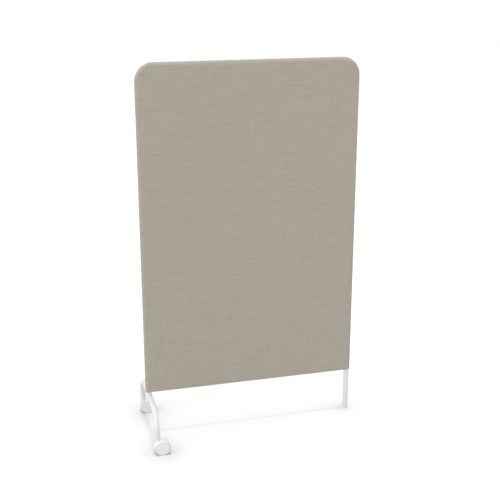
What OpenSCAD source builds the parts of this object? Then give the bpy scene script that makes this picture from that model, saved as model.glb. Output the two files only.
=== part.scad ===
// Rolling partition: an upholstered screen on a rolling arch foot and one straight leg.
// Millimetres, +Z up. Origin on the floor under the middle of the screen.
// X runs along the screen: the rolling end is at -X, the straight leg at +X. The front is -Y.

/* [Panel] */
// Width of the covered panel
panel_w = 1000; // [700:10:1400]
// Height of the covered panel
panel_h = 1500; // [900:10:1900]
// Radius of the two top corners, to the outside of the cover
corner_r = 80; // [50:1:160]
// Height of the panel's bottom edge above the floor
floor_gap = 207; // [180:1:260]
// Thickness of the cover fabric
fabric_t = 1; // [0.6:0.1:2]
// Thickness of the wadding between frame and cover
wadding_t = 1.5; // [1:0.1:5]
// Rounding of the panel's bottom edge, front and rear
bottom_edge_r = 5; // [4:0.5:6]
// Width of the closing strip under the panel
strip_w = 16; // [10:1:18]
// Distance from each leg's axis to the closing strip's end
strip_inset = 45; // [30:1:120]

/* [Frame] */
// Outer diameter of the frame, leg and arch tube
tube_d = 25; // [22:1:30]
// Wall of that tube
tube_wall = 2; // [1.5:0.1:2.5]
// Thickness of the stiff board in the middle of the panel
board_t = 4; // [3:0.5:6]
// Space between the board or slabs and the tubes round them
core_gap = 1; // [0.4:0.1:3]
// Thickness of the fixing ears
tab_t = 3; // [2:0.5:4]
// Width of the fixing ears along the tube
tab_w = 24; // [18:1:40]
// How far the fixing ears reach in from the tube
tab_reach = 26; // [20:1:40]
// Number of ears on each upright
upright_tabs = 3; // [2:1:5]
// Distance from the frame's corners to the outer ears of an upright
tab_end_inset = 150; // [100:5:300]
// Diameter of the board screws
screw_d = 4; // [3:0.5:5]

/* [Joints of the tubes] */
// Length of the spigots inside the frame's ends
spigot_len = 60; // [40:1:120]
// Length of the joiner inside the straight leg
joiner_drop = 50; // [30:1:90]
// Diameter of the bolt through the arch
bolt_d = 8; // [6:1:8]
// How far the bolt reaches into the spigot
bolt_reach = 28; // [15:1:35]
// Thickness of the leg glide's foot
glide_t = 4; // [3:0.5:8]
// Length of the glide's plug
glide_plug = 22; // [12:1:40]

/* [Arch foot] */
// Distance from the panel's middle plane to each arch leg
arch_half_span = 210; // [160:5:300]
// Space between the panel's bottom and the arch's crown
crown_gap = 2; // [1:0.5:10]

/* [Casters] */
// Wheel diameter over the tyre
wheel_d = 65; // [60:1:75]
// Width of one wheel
wheel_w = 15; // [12:0.5:18]
// Radial thickness of the tyre
tyre_t = 5; // [3:0.5:7]
// Offset of the axle from the swivel axis
trail = 21; // [16:1:23]
// Clearance between the tyre and the hood
hood_clear = 1.5; // [1:0.1:3]
// Wall of the hood
hood_wall = 2; // [1.5:0.1:3]
// Thickness of the hood's side lips
lip_t = 1.5; // [1:0.1:2.5]
// Height of the hood's lower rim above the floor
hood_low = 16; // [12:1:20]
// Rounding of the hood's shoulders
shoulder_r = 3; // [2:0.1:4]
// Depth of a wheel's cap, from the tyre's side to the hood's side
cap_depth = 5; // [3:0.5:7]
// How much smaller the cap's radius is than the wheel's
cap_margin = 1; // [0.5:0.1:3]
// Thickness of the web between the wheels
web_t = 14; // [13:0.5:18]
// Axle diameter
axle_d = 8; // [6:0.5:9]
// Diameter of the stem in its socket
stem_d = 11; // [10:0.5:12]
// Length of the stem above its collar
stem_len = 25; // [20:1:30]
// Diameter of the spindle that the caster turns on
spindle_d = 8; // [6:0.5:8.5]
// Length of the spindle below the collar
spindle_len = 24; // [16:1:28]
// Diameter of the stem's collar
collar_d = 18; // [16:0.5:19]
// Thickness of the stem's collar
collar_t = 2; // [1.5:0.1:3]
// Thickness of the socket's flange
flange_t = 4; // [3.5:0.5:6]
// Gap between the turning caster and the socket
swivel_gap = 0.4; // [0.3:0.1:1]

/* [Hidden] */
$fn = 72;

// Clearances
slip = 0.05;          // a shaft in its bore, on the radius
soft_gap = 0.1;       // between the layers of the panel
hole_gap = 0.2;       // round a tube that passes through the cover
pocket_gap = 0.5;     // round an ear or a screw inside a slab
weld_gap = 0.1;       // between a tube and what is welded to it
over = 1;             // how far a cutting shape passes the face it cuts

// Panel and frame
tube_r = tube_d/2;
bore_r = tube_r - tube_wall;
pad_t = fabric_t + wadding_t;
panel_t = tube_d + 2*pad_t;
edge_r = panel_t/2;
leg_x = panel_w/2 - edge_r;
panel_top = floor_gap + panel_h;
hoop_top = panel_top - edge_r;
hoop_bend_r = corner_r - edge_r;
rail_z = floor_gap + edge_r;

// Board screws
screw_x = tube_r + tab_reach - tab_w/2 + 2;
screw_head_r = screw_d;
screw_head_h = 0.65*screw_d;
screw_past = 2;
upright_low = rail_z + tab_end_inset;
upright_high = hoop_top - tab_end_inset;
tab_step = (upright_high - upright_low)/(upright_tabs - 1);
// Each ear: place of the tube's axis, and the direction in which the ear points
tab_spots = concat(
    [for (i = [0:upright_tabs - 1]) [-leg_x, upright_low + i*tab_step, 0]],
    [for (i = [0:upright_tabs - 1]) [leg_x, upright_low + i*tab_step, 180]],
    [for (side = [-1, 1]) [side*leg_x/2, hoop_top, 270]],
    [for (side = [-1, 1]) [side*leg_x/2, rail_z, 90]]);

// Arch
crown_z = floor_gap - crown_gap - tube_r;
bolt_head_r = 0.85*bolt_d;
bolt_head_h = 0.55*bolt_d;
washer_r = 1.05*bolt_d;
washer_t = 2;

// Casters
wheel_r = wheel_d/2;
well_r = wheel_r + hood_clear;
hood_r = well_r + hood_wall;
rim_r = wheel_r - tyre_t;
wheel_side_gap = 0.8;
wheel_in = web_t/2 + wheel_side_gap;
wheel_out = wheel_in + wheel_w;
hood_half_w = wheel_out + wheel_side_gap + lip_t;
cap_r = wheel_r - cap_margin;
cap_in = hood_half_w - cap_depth;
cap_edge_r = 1.2;
cap_dome = 0.8;
lip_r = cap_r + 0.8;
tyre_w = cap_in - wheel_in;
rim_wall = 2.5;
hub_r = axle_d;
rib_t = 1.6;
rib_count = 8;
axle_end = cap_in - 1;
boss_rise = 0.6;
boss_top = wheel_r + sqrt(pow(hood_r, 2) - pow(max(0, trail - tube_r), 2)) + boss_rise;
flange_z = boss_top + swivel_gap;
arch_end_z = flange_z + flange_t;
socket_len = stem_len + 2;
socket_spare = 0.5;   // straight tube left above the socket
// The bend's radius, in whole millimetres: it starts above the straight end that takes the socket
arch_bend_r = floor(crown_z - arch_end_z - (socket_len - flange_t) - socket_spare);
bend_z = crown_z - arch_bend_r;
ring_w = 5;
ring_z = flange_z + stem_len - 8;
ring_t = 0.9;
wheel_x = -leg_x + trail;

FABRIC = [0.66, 0.635, 0.588];
WADDING = [0.88, 0.87, 0.84];
ABSORBER = [0.55, 0.56, 0.57];
BOARD = [0.62, 0.50, 0.37];
WHITE = [0.93, 0.93, 0.93];
STEEL = [0.68, 0.69, 0.71];
CASTER = [0.89, 0.89, 0.89];
TYRE = [0.20, 0.20, 0.20];

// ---- helpers ----

// A cylinder along +Y, centred
module y_rod(r, h) { rotate([90, 0, 0]) cylinder(r = r, h = h, center = true); }

// A cylinder along +X, centred
module x_rod(r, h) { rotate([0, 90, 0]) cylinder(r = r, h = h, center = true); }

// A quarter bend in the XZ plane round the origin, from direction a to a + 90
module bend_xz(bend_r, r, a) {
    rotate([90, 0, 0]) rotate([0, 0, a])
        rotate_extrude(angle = 90) translate([bend_r, 0]) circle(r = r);
}

// The frame's U on its axis, as a solid bar of radius r, its ends moved down by extra
module hoop_bar(r, extra) {
    for (side = [-1, 1]) {
        translate([side*leg_x, 0, floor_gap - extra])
            cylinder(r = r, h = hoop_top - hoop_bend_r - floor_gap + extra);
        translate([side*(leg_x - hoop_bend_r), 0, hoop_top - hoop_bend_r])
            bend_xz(hoop_bend_r, r, side > 0 ? 0 : 90);
    }
    translate([0, 0, hoop_top]) x_rod(r, 2*(leg_x - hoop_bend_r));
}

// The arch on its axis, as a solid bar of radius r, its ends moved down by extra
module arch_bar(r, extra) {
    translate([-leg_x, 0, 0]) rotate([0, 0, 90]) {
        for (side = [-1, 1]) {
            translate([side*arch_half_span, 0, arch_end_z - extra])
                cylinder(r = r, h = bend_z - arch_end_z + extra);
            translate([side*(arch_half_span - arch_bend_r), 0, bend_z])
                bend_xz(arch_bend_r, r, side > 0 ? 0 : 90);
        }
        translate([0, 0, crown_z]) x_rod(r, 2*(arch_half_span - arch_bend_r));
    }
}

// The panel's outline as a solid, drawn in by inset on every side: half-round sides and top
module panel_solid(inset) {
    r = edge_r - inset;
    corner = corner_r - inset;
    flat_w = leg_x;
    top_x = panel_w/2 - corner_r;
    top_z = panel_top - corner_r;
    low = floor_gap + inset;
    intersection() {
        union() {
            translate([0, 0, low]) linear_extrude(height = top_z - low) {
                square([2*flat_w, 2*r], center = true);
                for (side = [-1, 1]) translate([side*flat_w, 0]) circle(r = r);
            }
            rotate([90, 0, 90]) linear_extrude(height = 2*top_x, center = true) {
                translate([-r, top_z]) square([2*r, corner - r]);
                translate([0, top_z + corner - r]) circle(r = r);
            }
            for (side = [-1, 1]) translate([side*top_x, 0, top_z])
                rotate([90, 0, 0]) rotate([0, 0, side > 0 ? 0 : 90]) rotate_extrude(angle = 90) {
                    translate([0, -r]) square([corner - r, 2*r]);
                    translate([corner - r, 0]) circle(r = r);
                }
        }
        rounded_bottom(inset, r, low);
    }
}

// A long bar with its two bottom edges rounded, which trims the panel's bottom
module rounded_bottom(inset, half_t, low) {
    r = bottom_edge_r - inset;
    rotate([90, 0, 90]) linear_extrude(height = panel_w + 2*over, center = true) {
        translate([-half_t - over, low + r]) square([2*(half_t + over), panel_h]);
        translate([-half_t + r, low]) square([2*(half_t - r), r]);
        for (side = [-1, 1]) translate([side*(half_t - r), low + r]) circle(r = r);
    }
}

// The two holes through which the frame's ends leave the panel
module leg_holes() {
    for (side = [-1, 1]) translate([side*leg_x, 0, floor_gap - over])
        cylinder(r = tube_r + hole_gap, h = bottom_edge_r + pad_t + over);
}

// Outline of board and slabs, inside the frame, extruded from y0 to y1
module core_slab(y0, y1) {
    half_w = leg_x - tube_r - core_gap;
    low = rail_z + tube_r + core_gap;
    high = hoop_top - tube_r - core_gap;
    r = hoop_bend_r - tube_r - core_gap;
    translate([0, y1, 0]) rotate([90, 0, 0]) linear_extrude(height = y1 - y0) {
        translate([-half_w, low]) square([2*half_w, high - r - low]);
        translate([-half_w + r, low]) square([2*(half_w - r), high - low]);
        for (side = [-1, 1]) translate([side*(half_w - r), high - r]) circle(r = r);
    }
}

// Places its children at each ear: local +X points in from the tube, local Z runs along it
module at_tabs() {
    for (spot = tab_spots) translate([spot[0], 0, spot[1]]) rotate([0, -spot[2], 0]) children();
}

// A rod along +Y from y0 to y1 at the screw of an ear
module screw_rod(r, y0, y1) {
    translate([screw_x, (y0 + y1)/2, 0]) y_rod(r, y1 - y0);
}

// ---- panel ----

module frame_hoop() {
    color(WHITE) difference() {
        hoop_bar(tube_r, 0);
        hoop_bar(bore_r, over);
    }
}

module bottom_rail() {
    color(WHITE) difference() {
        translate([0, 0, rail_z]) x_rod(tube_r, 2*leg_x);
        translate([0, 0, rail_z]) x_rod(bore_r, 2*leg_x + 2*over);
        for (side = [-1, 1]) translate([side*leg_x, 0, floor_gap])
            cylinder(r = tube_r + weld_gap, h = 2*edge_r);
    }
}

module fixing_tabs() {
    color(WHITE) at_tabs() difference() {
        translate([0, board_t/2, -tab_w/2]) cube([tube_r + tab_reach, tab_t, tab_w]);
        translate([0, 0, -tab_w]) cylinder(r = tube_r + weld_gap, h = 2*tab_w);
        screw_rod(screw_d/2 + slip, 0, board_t + tab_t);
    }
}

module core_board() {
    color(BOARD) difference() {
        core_slab(-board_t/2, board_t/2);
        at_tabs() screw_rod(screw_d/2 + 0.25, -board_t, board_t);
    }
}

module board_screws() {
    color(STEEL) at_tabs() {
        screw_rod(screw_head_r, -board_t/2 - screw_head_h, -board_t/2);
        screw_rod(screw_d/2, -board_t/2, board_t/2 + tab_t + screw_past);
    }
}

module front_absorber() {
    color(ABSORBER) difference() {
        core_slab(-tube_r, -board_t/2);
        at_tabs() screw_rod(screw_head_r + pocket_gap,
                            -board_t/2 - screw_head_h - pocket_gap, 0);
    }
}

module rear_absorber() {
    color(ABSORBER) difference() {
        core_slab(board_t/2, tube_r);
        at_tabs() {
            translate([0, 0, -tab_w/2 - pocket_gap])
                cube([tube_r + tab_reach + pocket_gap, board_t/2 + tab_t + pocket_gap,
                      tab_w + 2*pocket_gap]);
            screw_rod(screw_d/2 + pocket_gap, 0, board_t/2 + tab_t + screw_past + pocket_gap);
        }
    }
}

// One half of the wadding, on the side that faces -Y or +Y
module wadding_half(side) {
    color(WADDING) difference() {
        panel_solid(fabric_t + soft_gap);
        panel_solid(pad_t - soft_gap);
        leg_holes();
        translate([-panel_w, side < 0 ? -soft_gap/2 : -panel_t, 0])
            cube([2*panel_w, panel_t + soft_gap/2, 2*panel_top]);
    }
}

module front_wadding() { wadding_half(-1); }
module rear_wadding() { wadding_half(1); }

// The mouth under the panel that the closing strip fills, drawn in by gap
module strip_shape(gap, z0, h) {
    half_l = leg_x - strip_inset - gap;
    half_w = strip_w/2 - gap;
    translate([-half_l, -half_w, z0]) cube([2*half_l, 2*half_w, h]);
}

module fabric_cover() {
    color(FABRIC) difference() {
        panel_solid(0);
        panel_solid(fabric_t);
        leg_holes();
        strip_shape(0, floor_gap - over, fabric_t + 2*over);
    }
}

module closing_strip() {
    color([0.45, 0.43, 0.40]) strip_shape(hole_gap, floor_gap, fabric_t);
}

// ---- straight leg ----

module straight_leg() {
    color(WHITE) translate([leg_x, 0, 0]) difference() {
        translate([0, 0, glide_t]) cylinder(r = tube_r, h = floor_gap - glide_t);
        cylinder(r = bore_r, h = floor_gap + over);
    }
}

// A spigot in the tube's bore, from z0 to z1, with its ends chamfered
module spigot_rod(z0, z1) {
    chamfer = 1.5;
    r = bore_r - slip;
    translate([0, 0, z0]) cylinder(r1 = r - chamfer, r2 = r, h = chamfer);
    translate([0, 0, z0 + chamfer]) cylinder(r = r, h = z1 - z0 - 2*chamfer);
    translate([0, 0, z1 - chamfer]) cylinder(r1 = r, r2 = r - chamfer, h = chamfer);
}

module leg_joiner() {
    color(STEEL) translate([leg_x, 0, 0])
        spigot_rod(floor_gap - joiner_drop, floor_gap + spigot_len);
}

module leg_glide() {
    round_r = 1.2;
    color(CASTER) translate([leg_x, 0, 0]) {
        rotate_extrude() {
            square([tube_r - round_r, glide_t]);
            translate([0, round_r]) square([tube_r, glide_t - round_r]);
            translate([tube_r - round_r, round_r]) circle(r = round_r);
        }
        spigot_rod(glide_t - 1.5, glide_t + glide_plug);
    }
}

// ---- arch foot ----

module arch_foot() {
    color(WHITE) difference() {
        arch_bar(tube_r, 0);
        arch_bar(bore_r, over);
        translate([-leg_x, 0, crown_z - tube_d]) cylinder(r = bolt_d/2 + 0.25, h = 2*tube_d);
    }
}

module neck_saddle() {
    color(WHITE) translate([-leg_x, 0, 0]) difference() {
        translate([0, 0, crown_z]) cylinder(r = tube_r, h = floor_gap - crown_z);
        translate([0, 0, crown_z]) y_rod(tube_r + slip, 4*tube_d);
        translate([0, 0, crown_z]) cylinder(r = bolt_d/2 + 0.25, h = tube_d + crown_gap);
    }
}

module frame_spigot() {
    color(STEEL) translate([-leg_x, 0, 0]) difference() {
        spigot_rod(floor_gap, floor_gap + spigot_len);
        translate([0, 0, floor_gap - over]) cylinder(r = bolt_d/2 + slip, h = bolt_reach + 3 + over);
    }
}

module crown_bolt() {
    seat = crown_z - tube_r - washer_t;
    socket_d = 0.62*bolt_d;
    color(STEEL) translate([-leg_x, 0, 0]) difference() {
        union() {
            translate([0, 0, seat - bolt_head_h]) cylinder(r = bolt_head_r, h = bolt_head_h);
            translate([0, 0, seat]) cylinder(r = bolt_d/2, h = floor_gap + bolt_reach - seat);
        }
        translate([0, 0, seat - bolt_head_h - over])
            cylinder(d = socket_d, h = 0.6*bolt_head_h + over, $fn = 6);
    }
}

module crown_washer() {
    color(STEEL) translate([-leg_x, 0, 0]) difference() {
        translate([0, 0, crown_z - tube_r - washer_t]) cylinder(r = washer_r, h = washer_t + tube_r/2);
        translate([0, 0, crown_z]) y_rod(tube_r + slip, 4*tube_d);
        translate([0, 0, crown_z - tube_d]) cylinder(r = bolt_d/2 + 0.25, h = 2*tube_d);
    }
}

// ---- casters ----

module stem_socket(y) {
    color(CASTER) translate([-leg_x, y, flange_z]) difference() {
        union() {
            cylinder(r = tube_r, h = flange_t);
            translate([0, 0, flange_t]) cylinder(r = bore_r - slip, h = socket_len - flange_t);
        }
        translate([0, 0, -over]) cylinder(r = collar_d/2 + slip, h = collar_t + slip + over);
        cylinder(r = stem_d/2 + slip, h = socket_len + over);
    }
}

module stem(y) {
    tip = 1.5;
    color(STEEL) translate([-leg_x, y, flange_z]) difference() {
        union() {
            translate([0, 0, -spindle_len]) cylinder(r = spindle_d/2, h = spindle_len);
            cylinder(r = collar_d/2, h = collar_t);
            translate([0, 0, collar_t]) cylinder(r = stem_d/2, h = stem_len - collar_t - tip);
            translate([0, 0, stem_len - tip])
                cylinder(r1 = stem_d/2, r2 = stem_d/2 - tip, h = tip);
        }
        translate([0, 0, ring_z - flange_z]) difference() {
            cylinder(r = stem_d, h = ring_w + 0.4);
            translate([0, 0, -over])
                cylinder(r = stem_d/2 - ring_t - slip, h = ring_w + 2*over);
        }
    }
}

module grip_ring(y) {
    split = 2;
    color(STEEL) translate([-leg_x, y, ring_z + 0.2]) difference() {
        cylinder(r = stem_d/2, h = ring_w);
        translate([0, 0, -over]) cylinder(r = stem_d/2 - ring_t, h = ring_w + 2*over);
        translate([0, -split/2, -over]) cube([stem_d, split, ring_w + 2*over]);
    }
}

// Cross-section of the hood's drum, with rounded shoulders.
// x is the radius from the axle, y runs across the caster.
module drum_section() {
    translate([0, -hood_half_w]) square([hood_r - shoulder_r, 2*hood_half_w]);
    translate([0, -hood_half_w + shoulder_r]) square([hood_r, 2*(hood_half_w - shoulder_r)]);
    for (side = [-1, 1]) translate([hood_r - shoulder_r, side*(hood_half_w - shoulder_r)])
        circle(r = shoulder_r);
}

// Hood: a drum over both wheels with a boss for the spindle, hollowed for each wheel and cut
// off level below. A lip stays round each wheel's cap, and a web stays between the wheels.
module hood(y) {
    well_w = hood_half_w - lip_t - web_t/2;
    color(CASTER) translate([wheel_x, y, wheel_r]) difference() {
        union() {
            rotate([90, 0, 0]) rotate_extrude() drum_section();
            translate([-trail, 0, 0]) cylinder(r = tube_r, h = boss_top - wheel_r);
        }
        translate([-2*hood_r, -2*hood_half_w, hood_low - wheel_r - 2*hood_r])
            cube([4*hood_r, 4*hood_half_w, 2*hood_r]);
        for (side = [-1, 1]) {
            translate([0, side*(web_t + well_w)/2, 0]) y_rod(well_r, well_w);
            translate([0, side*(web_t/2 + hood_half_w), 0]) y_rod(lip_r, 2*hood_half_w);
        }
        translate([-trail, 0, boss_top - wheel_r - spindle_len - 1])
            cylinder(r = spindle_d/2 + slip, h = spindle_len + 1 + over);
        y_rod(axle_d/2 + slip, web_t + 2*over);
    }
}

module axle(y) {
    chamfer = 0.8;
    color(STEEL) translate([wheel_x, y, wheel_r]) rotate([90, 0, 0]) {
        cylinder(r = axle_d/2, h = 2*(axle_end - chamfer), center = true);
        for (side = [0, 1]) mirror([0, 0, side])
            translate([0, 0, axle_end - chamfer])
                cylinder(r1 = axle_d/2, r2 = axle_d/2 - chamfer, h = chamfer);
    }
}

// A wheel's own frame: the axle along +Y, side is -1 for the wheel towards -Y, else 1
module at_wheel(y, side) {
    translate([wheel_x, y, wheel_r]) rotate([side < 0 ? 90 : -90, 0, 0]) children();
}

// Section of a wheel's cap: x is the radius, y the distance from the caster's middle
module cap_section() {
    flat_r = cap_r - cap_edge_r;
    dome_r = (pow(flat_r, 2) + pow(cap_dome, 2))/(2*cap_dome);
    translate([0, cap_in]) square([flat_r, cap_depth]);
    translate([0, cap_in]) square([cap_r, cap_depth - cap_edge_r]);
    translate([flat_r, hood_half_w - cap_edge_r]) circle(r = cap_edge_r);
    intersection() {
        translate([0, hood_half_w + cap_dome - dome_r]) circle(r = dome_r, $fn = 720);
        translate([0, cap_in]) square([flat_r, cap_depth + 2*cap_dome]);
    }
}

// Rim: ring, blind hub and ribs inside, and a plain slightly domed cap outside
module rim(y, side) {
    rib_in = wheel_in + 3;
    color(CASTER) at_wheel(y, side) difference() {
        union() {
            rotate_extrude() cap_section();
            rotate_extrude() translate([rim_r - rim_wall, wheel_in]) square([rim_wall, tyre_w + 1]);
            translate([0, 0, wheel_in]) cylinder(r = hub_r, h = tyre_w + 1);
            for (i = [0:rib_count - 1]) rotate([0, 0, i*360/rib_count])
                translate([hub_r/2, -rib_t/2, rib_in])
                    cube([rim_r - rim_wall/2 - hub_r/2, rib_t, cap_in - rib_in + 1]);
        }
        translate([0, 0, wheel_in - over])
            cylinder(r = axle_d/2 + slip, h = axle_end + 0.5 - wheel_in + over);
    }
}

module tyre(y, side) {
    tread_r = 2;
    color(TYRE) at_wheel(y, side) rotate_extrude() difference() {
        translate([0, wheel_in]) {
            square([wheel_r - tread_r, tyre_w]);
            translate([0, tread_r]) square([wheel_r, tyre_w - 2*tread_r]);
            for (end = [tread_r, tyre_w - tread_r])
                translate([wheel_r - tread_r, end]) circle(r = tread_r);
        }
        translate([0, wheel_in - over]) square([rim_r, tyre_w + 2*over]);
    }
}

module front_stem_socket() { stem_socket(-arch_half_span); }
module front_stem() { stem(-arch_half_span); }
module front_grip_ring() { grip_ring(-arch_half_span); }
module front_hood() { hood(-arch_half_span); }
module front_axle() { axle(-arch_half_span); }
module front_outer_rim() { rim(-arch_half_span, -1); }
module front_outer_tyre() { tyre(-arch_half_span, -1); }
module front_inner_rim() { rim(-arch_half_span, 1); }
module front_inner_tyre() { tyre(-arch_half_span, 1); }
module rear_stem_socket() { stem_socket(arch_half_span); }
module rear_stem() { stem(arch_half_span); }
module rear_grip_ring() { grip_ring(arch_half_span); }
module rear_hood() { hood(arch_half_span); }
module rear_axle() { axle(arch_half_span); }
module rear_outer_rim() { rim(arch_half_span, 1); }
module rear_outer_tyre() { tyre(arch_half_span, 1); }
module rear_inner_rim() { rim(arch_half_span, -1); }
module rear_inner_tyre() { tyre(arch_half_span, -1); }

frame_hoop();
bottom_rail();
fixing_tabs();
core_board();
board_screws();
front_absorber();
rear_absorber();
front_wadding();
rear_wadding();
fabric_cover();
closing_strip();
straight_leg();
leg_joiner();
leg_glide();
arch_foot();
neck_saddle();
frame_spigot();
crown_bolt();
crown_washer();
front_stem_socket();
front_stem();
front_grip_ring();
front_hood();
front_axle();
front_outer_rim();
front_outer_tyre();
front_inner_rim();
front_inner_tyre();
rear_stem_socket();
rear_stem();
rear_grip_ring();
rear_hood();
rear_axle();
rear_outer_rim();
rear_outer_tyre();
rear_inner_rim();
rear_inner_tyre();
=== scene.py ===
"""Rolling partition: finishes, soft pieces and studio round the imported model.

Metres, in the model's own frame: +Z up, the front face towards -Y, the rolling end at -X.
"""

import logging
import math
from dataclasses import dataclass, field, replace
from enum import Enum
from functools import cache
from typing import Any, Sequence, Union

import bmesh
import bpy
import numpy as np
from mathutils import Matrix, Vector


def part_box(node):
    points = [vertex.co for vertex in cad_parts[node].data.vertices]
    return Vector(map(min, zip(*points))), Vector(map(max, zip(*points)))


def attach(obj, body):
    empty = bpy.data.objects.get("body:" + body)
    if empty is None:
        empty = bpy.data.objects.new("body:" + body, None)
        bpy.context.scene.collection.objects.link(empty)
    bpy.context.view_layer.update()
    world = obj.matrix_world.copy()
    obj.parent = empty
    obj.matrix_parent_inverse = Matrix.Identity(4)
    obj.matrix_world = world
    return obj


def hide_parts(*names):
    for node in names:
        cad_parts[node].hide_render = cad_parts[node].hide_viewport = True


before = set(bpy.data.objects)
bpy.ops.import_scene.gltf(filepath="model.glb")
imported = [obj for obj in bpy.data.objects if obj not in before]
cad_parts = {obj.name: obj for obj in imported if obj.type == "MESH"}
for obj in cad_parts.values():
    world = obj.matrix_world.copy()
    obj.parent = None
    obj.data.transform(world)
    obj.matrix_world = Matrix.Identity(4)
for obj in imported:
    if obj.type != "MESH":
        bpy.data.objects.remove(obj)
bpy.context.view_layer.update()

CLOTH_MAP = "cloth"
TINY = 1e-9

Triple = tuple[float, float, float]
Colour = Triple
Operand = Union["Signal", float, tuple[float, ...]]
WHITE: Colour = (1.0, 1.0, 1.0)
log = logging.getLogger("rolling_partition")


class Way(Enum):
    """A direction along one axis, by its sign."""

    @property
    def word(self) -> str:
        """The word that piece names start with."""
        return self.name.lower()


class Side(Way):
    """A face of the panel, by the sign of its Y."""

    FRONT = -1
    REAR = 1


class End(Way):
    """An end of the panel, by the sign of its X."""

    LEFT = -1
    RIGHT = 1


class Slot(Enum):
    """The record's material slots, by name."""

    COVER = "cover_fabric"
    WADDING = "wadding"
    ABSORBER = "absorber"
    STRIP = "strip"


class Place(Enum):
    """What a pattern is laid out on: the model's own axes, or the cloth along its surface."""

    OBJECT = "Object"
    CLOTH = "cloth"


# ---- shader maths ----


class Signal:
    """A value, vector or colour that flows through a node tree, with arithmetic written as Python."""

    def __init__(self, graph: "Graph", socket: bpy.types.NodeSocket) -> None:
        """Wraps one output socket of a node in the graph."""
        self.graph = graph
        self.socket = socket

    def _math(self, operation: str, *operands: Operand) -> "Signal":
        """The output of a new Math node with these operands, in order."""
        return self.graph.node("ShaderNodeMath", {"operation": operation}, dict(enumerate(operands)))

    def output(self, name: str) -> "Signal":
        """Another output of the same node."""
        return Signal(self.graph, self.socket.node.outputs[name])

    def __add__(self, other: Operand) -> "Signal":
        """self + other."""
        return self._math("ADD", self, other)

    __radd__ = __add__

    def __sub__(self, other: Operand) -> "Signal":
        """self - other."""
        return self._math("SUBTRACT", self, other)

    def __rsub__(self, other: Operand) -> "Signal":
        """other - self."""
        return self._math("SUBTRACT", other, self)

    def __mul__(self, other: Operand) -> "Signal":
        """self * other."""
        return self._math("MULTIPLY", self, other)

    __rmul__ = __mul__

    def __pow__(self, other: Operand) -> "Signal":
        """self to the power other."""
        return self._math("POWER", self, other)

    def __rpow__(self, other: Operand) -> "Signal":
        """other to the power self."""
        return self._math("POWER", other, self)

    def __abs__(self) -> "Signal":
        """The size of self without its sign."""
        return self._math("ABSOLUTE", self)

    def wave(self, length: float) -> "Signal":
        """A cosine that repeats every length of self."""
        return self._math("COSINE", self * (2 * math.pi / length))

    def highest(self, other: Operand) -> "Signal":
        """The larger of self and other."""
        return self._math("MAXIMUM", self, other)

    def ramp(self, low: float, high: float) -> "Signal":
        """A smooth step from 0 at low to 1 at high."""
        settings = {"interpolation_type": "SMOOTHSTEP"}
        return self.graph.node("ShaderNodeMapRange", settings, {0: self, 1: low, 2: high})


class Graph:
    """A node tree that is filled through one node-making method."""

    def __init__(self, owner: bpy.types.Material | bpy.types.World) -> None:
        """Turns the owner's nodes on and starts from an empty tree.

        Args:
            owner: the material or world that the tree belongs to.
        """
        owner.use_nodes = True
        self.tree = owner.node_tree
        self.tree.nodes.clear()

    def node(
        self,
        kind: str,
        settings: dict[str, Any] | None = None,
        inputs: dict[int | str, Operand] | None = None,
        output: int | str = 0,
    ) -> Signal:
        """Adds one node: its settings first, then its sockets.

        Args:
            kind: the node's type.
            settings: attributes of the node, such as a Math node's operation.
            inputs: values or Signals by socket name or index.
            output: the socket that the returned Signal stands for.
        Returns:
            The chosen output, or the first input of a node that has no outputs.
        """
        node = self.tree.nodes.new(kind)
        for name, value in (settings or {}).items():
            setattr(node, name, value)
        for key, value in (inputs or {}).items():
            if isinstance(value, Signal):
                self.tree.links.new(value.socket, node.inputs[key])
            else:
                node.inputs[key].default_value = value
        return Signal(self, node.outputs[output] if len(node.outputs) else node.inputs[0])

    def coordinates(self, place: Place) -> Signal:
        """The model's axes, or the cloth map in metres."""
        if place is Place.CLOTH:
            return self.node("ShaderNodeUVMap", {"uv_map": CLOTH_MAP})
        return self.node("ShaderNodeTexCoord", output=place.value)

    def parts(self, vector: Signal) -> tuple[Signal, Signal, Signal]:
        """The three components of a vector."""
        x = self.node("ShaderNodeSeparateXYZ", inputs={0: vector})
        return x, x.output("Y"), x.output("Z")

    def noise(self, place: Signal, grain: float | Triple, detail: float = 2.0, shift: float = 0.0) -> Signal:
        """Smooth noise, less its mean of a half.

        Args:
            place: the coordinates that it follows.
            grain: the size of one grain in metres, the same all ways or along each axis.
            detail: octaves of finer noise.
            shift: moves the pattern, so that two noises differ.
        Returns:
            A value from about -0.5 to 0.5.
        """
        scale = tuple(1.0 / size for size in (grain if isinstance(grain, tuple) else (grain,) * 3))
        spot = self.node(
            "ShaderNodeVectorMath", {"operation": "MULTIPLY_ADD"}, {0: place, 1: scale, 2: (shift,) * 3}
        )
        return self.node("ShaderNodeTexNoise", inputs={"Vector": spot, "Scale": 1.0, "Detail": detail}) - 0.5

    def tinted(self, colour: Colour, strength: Operand) -> Signal:
        """A colour times a strength."""
        return self.node("ShaderNodeVectorMath", {"operation": "SCALE"}, {0: colour, "Scale": strength})

    def mixed(self, share: Signal, first: Colour, second: Colour) -> Signal:
        """The first colour at share 0, the second at 1. Inputs 6 and 7 and output 2 are the colour ones."""
        inputs = {0: share, 6: (*first, 1.0), 7: (*second, 1.0)}
        return self.node("ShaderNodeMix", {"data_type": "RGBA"}, inputs, output=2)


# ---- finishes ----


@dataclass(frozen=True)
class Layer:
    """Noise over a surface, with grains of a size in metres.

    It adds the share tone to the colour, rough to the roughness, and the share rise to the relief.
    """

    grain: float | Triple
    tone: float = 0.0
    rough: float = 0.0
    rise: float = 0.0
    detail: float = 2.0
    shift: float = 0.0


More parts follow.
